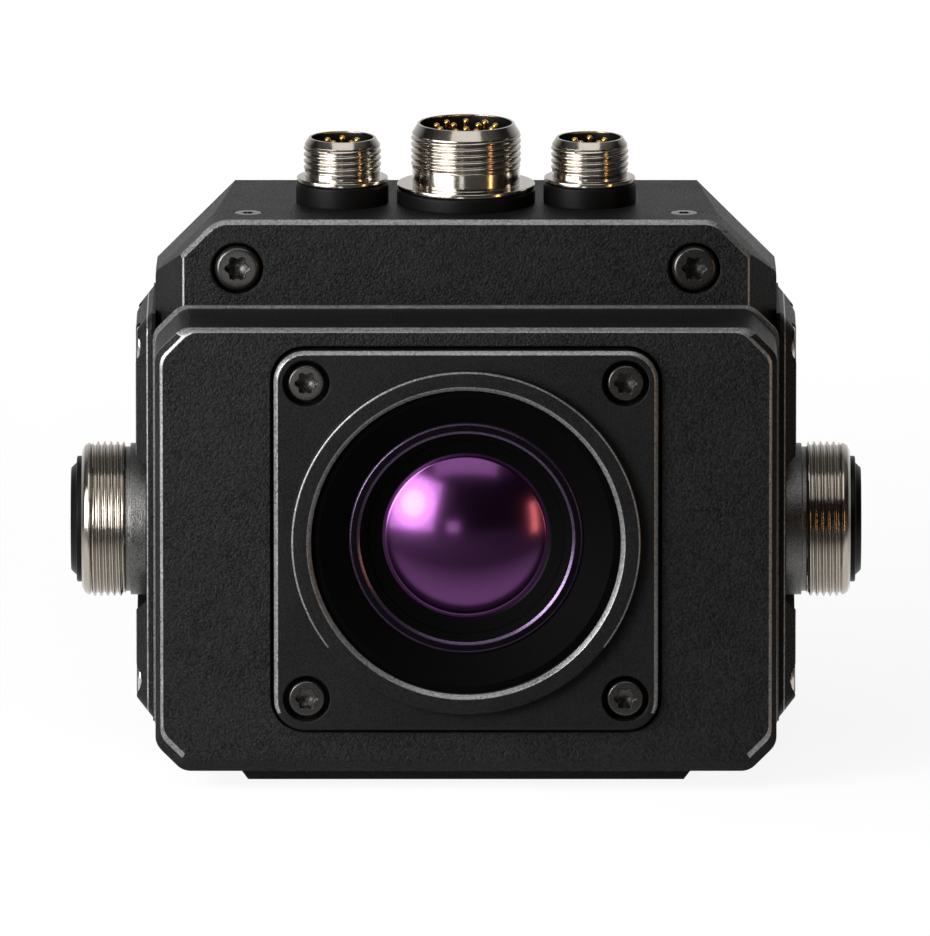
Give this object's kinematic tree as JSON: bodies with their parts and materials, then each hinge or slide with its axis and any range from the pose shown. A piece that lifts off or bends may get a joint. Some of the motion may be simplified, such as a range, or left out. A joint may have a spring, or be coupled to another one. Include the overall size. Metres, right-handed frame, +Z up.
{
  "type": "thermal camera",
  "caption": "Rugged machine-vision thermal camera in a black housing, with a coated germanium lens in front and threaded receptacles on its roof and sides.",
  "frame": {"origin": "centre of the mounting foot's underside, on the surface that the camera stands on", "axes": "+Z up, away from the mounting foot; the lens looks along -Y; +X to the right for someone who faces the lens"},
  "size_m": [0.1222, 0.0577, 0.0988],
  "materials": {
    "black_coated_aluminium": "black fine-textured powder coat",
    "black_anodised_aluminium": "black anodised",
    "bare_aluminium": "milled",
    "black_oxide_steel": "black oxide",
    "plain_steel": "bright",
    "nickel_plated_brass": "bright nickel plate",
    "gold_plated_brass": "gold plate",
    "black_rubber": "matt",
    "black_plastic": "satin",
    "coated_lens": "polished, purple anti-reflection coating",
    "clear_window": "polished",
    "circuit_board": "green solder mask",
    "ceramic_package": "matt"
  },
  "bodies": {
    "camera": {"board_screws": "plain_steel", "centre_contact_pins": "gold_plated_brass", "centre_ring_nut": "nickel_plated_brass", "chassis_plate": "bare_aluminium", "chassis_spacers": "nickel_plated_brass", "contact_insert_centre": "black_plastic", "contact_insert_left": "black_plastic", "contact_insert_right": "black_plastic", "foot_screws": "black_oxide_steel", "front_cover": "black_coated_aluminium", "front_cover_gasket": "black_anodised_aluminium", "front_cover_screws": "black_oxide_steel", "front_lens": "coated_lens", "front_lens_ring": "black_anodised_aluminium", "lens_barrel": "black_anodised_aluminium", "lens_flange": "black_coated_aluminium", "lens_flange_gasket": "black_rubber", "lens_flange_screws": "black_oxide_steel", "main_housing": "black_coated_aluminium", "mounting_foot": "black_coated_aluminium", "power_board": "circuit_board", "processor_board": "circuit_board", "processor_board_spacers": "nickel_plated_brass", "rear_cover": "black_coated_aluminium", "rear_cover_gasket": "black_rubber", "rear_cover_screws": "black_oxide_steel", "rear_lens": "coated_lens", "rear_lens_ring": "black_anodised_aluminium", "receptacle_shell_centre": "nickel_plated_brass", "receptacle_shell_left": "nickel_plated_brass", "receptacle_shell_right": "nickel_plated_brass", "roof_plugs": "black_anodised_aluminium", "sealing_ring_centre": "black_rubber", "sealing_ring_left": "black_rubber", "sealing_ring_right": "black_rubber", "sensor_board": "circuit_board", "sensor_board_spacers": "nickel_plated_brass", "sensor_package": "ceramic_package", "sensor_window": "clear_window", "shutter_frame": "bare_aluminium", "shutter_solenoid": "plain_steel", "side_contacts_left": "gold_plated_brass", "side_contacts_right": "gold_plated_brass", "side_cover_left": "black_coated_aluminium", "side_cover_right": "black_coated_aluminium", "side_cover_screws_left": "plain_steel", "side_cover_screws_right": "plain_steel", "side_gasket_left": "black_rubber", "side_gasket_right": "black_rubber", "side_insert_left": "black_plastic", "side_insert_right": "black_plastic", "side_receptacle_shell_left": "nickel_plated_brass", "side_receptacle_shell_right": "nickel_plated_brass", "side_ring_nuts": "nickel_plated_brass", "small_contact_pins": "gold_plated_brass", "small_ring_nuts": "nickel_plated_brass", "upper_screws": "black_oxide_steel"},
    "shutter": {"shutter_blade": "black_anodised_aluminium", "shutter_pivot": "plain_steel"}
  },
  "joints": [
    {"name": "shutter_swing", "type": "hinge", "parent": "camera", "child": "shutter", "pos_m": [0.018, 0.0021, 0.0457], "axis": [0, 1, 0], "range_deg": [0, 71.5]}
  ]
}
